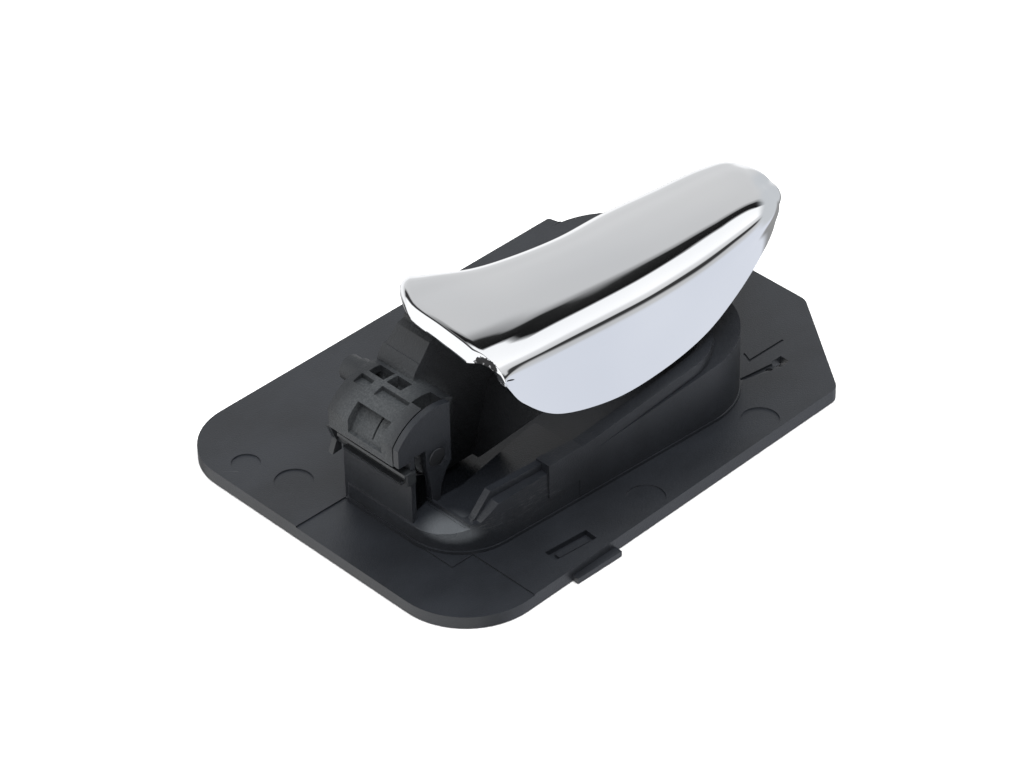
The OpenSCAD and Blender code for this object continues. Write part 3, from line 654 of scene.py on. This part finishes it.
def lever_form():
    px, pz = PIVOT
    drum = fuse(sector(DRUM_IN, DRUM_R, 60, 168, HUB_Y0, 4.4), sector(HUB_R - 1, DRUM_R, 62, 113, -9.2, 4.4))
    drum = carve(
        drum,
        block(px - 1, px + 2, -6.8, -2.8, pz + 5.6, pz + 20),
        block(px - 1, px + 2, -2, 2.2, pz + 5.6, pz + 20),
        block(px - 2, px + 3, HUB_Y0 - 1, -10.8, pz + 5.6, pz + 20),
        block(px - 4.6, px - 2.2, -10.8, -3, pz + DRUM_R - 1.3, pz + 20),
        block(px - 4.6, px - 2.2, -0.8, 2.8, pz + DRUM_R - 1.3, pz + 20),
        carve(block(px - 20, px - 5.6, -10.6, -1.2, pz + 3.7, pz + 9.6),
              sector(0, DRUM_IN + 0.7, 100, 190, -20, 20)),
        block(px - 12, px - 5, -7.2, -6.8, pz + 4.4, pz + 9),
        block(px - 20, px - 9.9, HUB_Y0 - 1, 6, 0, 60))
    neck = slab(NECK_Y0, 4.4, [
        about(HUB_R, 300), (-37.4, 14.6), (-34.2, 8.6), (-31.5, 5), (-23.4, 5), (-22.6, 6.2), (-20.4, 13),
        (-18.6, 19.2), (-16.4, 24), (-15, 34), (-37.4, 34), (-38.8, 32), about(DRUM_R - 0.2, 75),
        about(HUB_R - 1, 120)])
    palm = common(
        slab(-20, NECK_Y0 + 0.5, [
            (-24.2, 5), (-22.9, 5), (-20.4, 13), (-18.6, 19.2), (-17, 22.9), (-14.7, 26.7), (-11, 29.9),
            (-6, 32.2), (2, 33), (2, 34.2), (-7, 33.4), (-12, 31), (-15.8, 27.4), (-18.2, 23.4),
            (-19.8, 19.6), (-21.6, 13.5), (-23.8, 6.2)]),
        prism([(-5, 4), (-5, 40), (-20, 40), (-20, 19.8), (-6.6, 4)], -30, 10, "x"))
    upper = common(
        slab(NECK_Y0, 4.4, [
            (-39, 30.6), (-24.8, 28), (-17, 22.9), (-14.7, 26.7), (-11, 29.9), (-6, 32.4), (0, 33), (0, 36.6),
            (-12, 38), (-22, 38.8), (-29, 39.3), (-32.7, 39.2), (-33, 38.2), (-34.5, 37.6), (-38.4, 32.4)]),
        prism([(-42, -7), (2, -7), (2, -2.6), (-6, -1.9), (-16, -0.4), (-24.5, 2.2), (-30, 2.8), (-42, 4.4)],
              20, 60, "z"))
    upper = carve(upper, slab(-4.4, 3.4, [(-31, 34), (-15, 34), (-8, 45), (-31, 45)]))
    # The eye's far end is where the mount has it
    lug = fuse(rod(*EYE, 3.2, 3.9, 6.8), rod(*EYE, 2.7, 6.5, 9.8), slab(3.9, 6.8, [
        (px - 2.6, pz + 4.4), (px + 3.7, pz + 4.4), (px + 3.8, pz + 8), (px - 2.6, pz + 8)]))

    def under(x):
        return 33 - 0.03 * (x + 8)
    grip = common(
        plan([(-8, -21.2, 1), (30, -19.6, 6), (46, -14.5, 4), (45.5, -5, 4), (20, -2.2, 0),
              (-8, -2.2, 0)], 20, 50),
        slab(-40, 20, [(-10, under(-10)), (48, under(48)), (48, under(48) + 1.8), (-10, under(-10) + 1.8)]))
    made = fuse(rod(px, pz, HUB_R, HUB_Y0, HUB_Y1), drum, neck, palm, upper, lug, grip,
                sector(HUB_R - 1, 6.2, 220, 236, -7.7, -6.1),
                slab(-21, -19.6, [(-8, 23.6), (-4, 23), (8, 22.6), (20, 24.5), (30, 27), (30, 33.4),
                                  (-8, 34.2)]))
    return carve(made, rod(px, pz, PIN_R + PIN_GAP, HUB_Y0 - 1, HUB_Y1 + 1), rod(*EYE, EYE_R, 3, 12),
                 block(px - 2.2, px + 2, 1.6, 3.6, pz + 5.6, pz + 10.2))


def clip_form():
    z0 = PIVOT[1] - 2.5
    body = fuse(block(WALL_X - 0.5, WALL_X, CHEEK_Y0 - 0.4, 4.9, z0 - 0.6, z0 + 3),
                block(WALL_X - 3, WALL_X, -14, 2.4, z0 - 0.6, z0 + 0.1),
                block(WALL_X - 3, WALL_X, CHEEK_Y0 - 0.4, 3.4, z0 + 2.2, z0 + 3))
    return fuse(common(body, rod(*PIVOT, DRUM_IN - 0.35, -30, 30)),
                block(WALL_X - 1.4, WALL_X + 0.9, CHEEK_Y0 - 0.5, CHEEK_Y0, z0, z0 + 2.8),
                slab(4.7, 6, [(WALL_X - 2.4, z0 + 3.8), (WALL_X - 1, z0), (WALL_X - 2.2, z0 - 3),
                              (WALL_X + 0.2, z0 - 2.8), (WALL_X + 0.2, z0 + 3.8)]))


def small_forms():
    px, pz = PIVOT
    ring = carve(rod(px, pz, RING_R, EAR_Y1, EAR_Y1 + 0.5), rod(px, pz, PIN_R, EAR_Y1 - 1, EAR_Y1 + 2))
    stop = slab(-7.8, -6.1, [stop_pt(4.9, 0), stop_pt(4.9, 2.6), stop_pt(7.4, 2.6), stop_pt(7.4, 0)])
    return [
        ("hinge_pin", "pin_end", rod(px, pz, PIN_R, CHEEK_Y0 - 0.1, EAR_Y1 + 0.7), "steel"),
        ("pin_clip", "pin_retainer", ring, "steel"),
        ("rest_buffer", "rest_pad", block(-30.8, -27, -3, 2, FLANGE_H + 0.2, 5), "rubber"),
        ("stop_buffer", "stop_pad", stop, "rubber")]


softened(housing_form(), "housing", "moulded_housing", "moulding", 0.3, "base")
softened(lever_form(), "lever_arm", "moulded_lever", "lever", 0.22, "lever")
softened(clip_form(), "edge_clip", "moulded_clip", "clip", 0.1, "base")
for node, name, form, material in small_forms():
    softened(form, node, name, material, 0.12, "base")
spring = frame["nodes"]["return_spring"]
spring.data.materials.clear()
spring.data.materials.append(MAT["spring"])


# Studio

CAMERA_AZIMUTH, CAMERA_ELEVATION, CAMERA_ROLL = 43.3, 37.0, -1.2
CAMERA_DISTANCE = 0.815
CAMERA_AIM = (1.5, 9.7, 0)
SENSOR = 36
FOCAL_PIXELS = 4000
PHOTO_WIDTH = 1024


def camera():
    az, el, roll = (math.radians(a) for a in (CAMERA_AZIMUTH, CAMERA_ELEVATION, CAMERA_ROLL))
    look = Vector((math.sin(az) * math.cos(el), math.cos(az) * math.cos(el), -math.sin(el)))
    right = Vector((math.cos(az), -math.sin(az), 0))
    up = right.cross(look)
    right, up = (math.cos(roll) * right + math.sin(roll) * up,
                 -math.sin(roll) * right + math.cos(roll) * up)
    aim = Vector(CAMERA_AIM) * MM
    data = bpy.data.cameras.new("camera")
    data.lens = SENSOR * FOCAL_PIXELS / PHOTO_WIDTH
    data.sensor_width = SENSOR
    made = bpy.data.objects.new("camera", data)
    bpy.context.scene.collection.objects.link(made)
    turn = Matrix((right, up, -look)).transposed()
    made.matrix_world = Matrix.Translation(aim - look * CAMERA_DISTANCE) @ turn.to_4x4()
    data.clip_start = 0.01
    bpy.context.scene.camera = made


def area(name, place, size, power, aim=(0, 0, 0.02)):
    data = bpy.data.lights.new(name, "AREA")
    data.shape = "RECTANGLE"
    data.size, data.size_y = size
    data.energy = power
    made = bpy.data.objects.new(name, data)
    bpy.context.scene.collection.objects.link(made)
    made.location = place
    made.rotation_euler = (Vector(aim) - Vector(place)).to_track_quat("-Z", "Y").to_euler()
    made.visible_glossy = False


def world():
    """White to the camera. Light and reflections see a pale room with darker bands."""
    made = bpy.data.worlds.new("room")
    bpy.context.scene.world = made
    g = Graph(made)
    coords = g.node("ShaderNodeTexCoord")
    axes = g.node("ShaderNodeSeparateXYZ")
    g.link(coords.outputs["Generated"], axes.inputs[0])
    # Angle of a direction round the handle's long axis: 0 towards +Y, 0.25 up, 0.5 towards -Y
    turn = g.maths("ARCTAN2", axes.outputs[2], axes.outputs[1])
    round_x = g.maths("FRACT", g.maths("DIVIDE", turn, 2 * math.pi))
    blue = (0.78, 0.81, 0.885)
    sky = g.ramp(round_x, [
        (0.0, 1.05), (0.05, 0.76), (0.10, 0.70), (0.165, 0.66), (0.182, 0.36), (0.188, 0.02),
        (0.209, 0.01), (0.214, 1.12), (0.315, 1.2), (0.35, 0.82), (0.378, 0.72), (0.39, 0.05),
        (0.41, 0.04), (0.43, 0.62), (0.5, blue), (0.74, blue), (0.80, 0.30), (0.90, 0.32), (0.94, 1.1)])
    # Towards the hinge end: a dark strip, then a white panel, but not straight towards +Y
    side = g.unsigned(axes.outputs[0])
    left = g.ramp(side, [(0.37, 1.2), (0.405, 0.05), (0.48, 0.04), (0.51, 0.3)])
    far = g.ramp(g.maths("MULTIPLY", axes.outputs[1], 0.5), [(0.455, 0.0), (0.485, 1.0)])
    right = g.ramp(side, [(0.92, 0.0), (0.97, 1.0)])
    sky = g.blend(right, sky, rgb(0.64, 0.66, 0.68))
    sky = g.blend(g.maths("MAXIMUM", g.ramp(side, [(0.49, 0.0), (0.56, 1.0)]), far), left, sky)
    # What lights the matt surfaces: strongest from above and from the hinge end
    height = g.ramp(axes.outputs[2], [(0.0, 0.45), (0.5, 0.75), (1.0, 1.25)])
    lean = g.ramp(g.unsigned(axes.outputs[1]), [(0.0, 0.35), (0.6, 1.0)])
    fill = g.blend(lean, rgb(0.0, 0.0, 0.0), height)
    paths = g.node("ShaderNodeLightPath")
    seen = g.blend(paths.outputs["Is Camera Ray"], g.blend(paths.outputs["Is Glossy Ray"], fill, sky),
                   rgb(1.0, 1.0, 1.0))
    back = g.node("ShaderNodeBackground")
    g.link(seen, back.inputs[0])
    out = g.node("ShaderNodeOutputWorld")
    g.link(back.outputs[0], out.inputs[0])


def floor():
    bpy.ops.mesh.primitive_plane_add(size=6, location=(0, 0, -0.0002))
    made = bpy.context.object
    made.name = "studio_floor"
    mat = bpy.data.materials.new("pale_floor")
    g = Graph(mat)
    cloud = g.noise(g.place(), 2.0)
    base = g.blend(cloud, rgb(0.93, 0.93, 0.93), rgb(0.96, 0.96, 0.96))
    g.finish(g.shader(base, 0.9))
    made.data.materials.append(mat)
    made.visible_glossy = False


camera()
world()
floor()
area("key", (-0.7, -0.1, 1.2), (0.6, 0.6), 5.0)
area("top", (-0.05, -0.45, 1.4), (0.7, 0.5), 16.0)
area("back", (0.3, 0.7, 1.1), (0.8, 0.5), 8.0)
scene = bpy.context.scene
scene.view_settings.view_transform = "Standard"
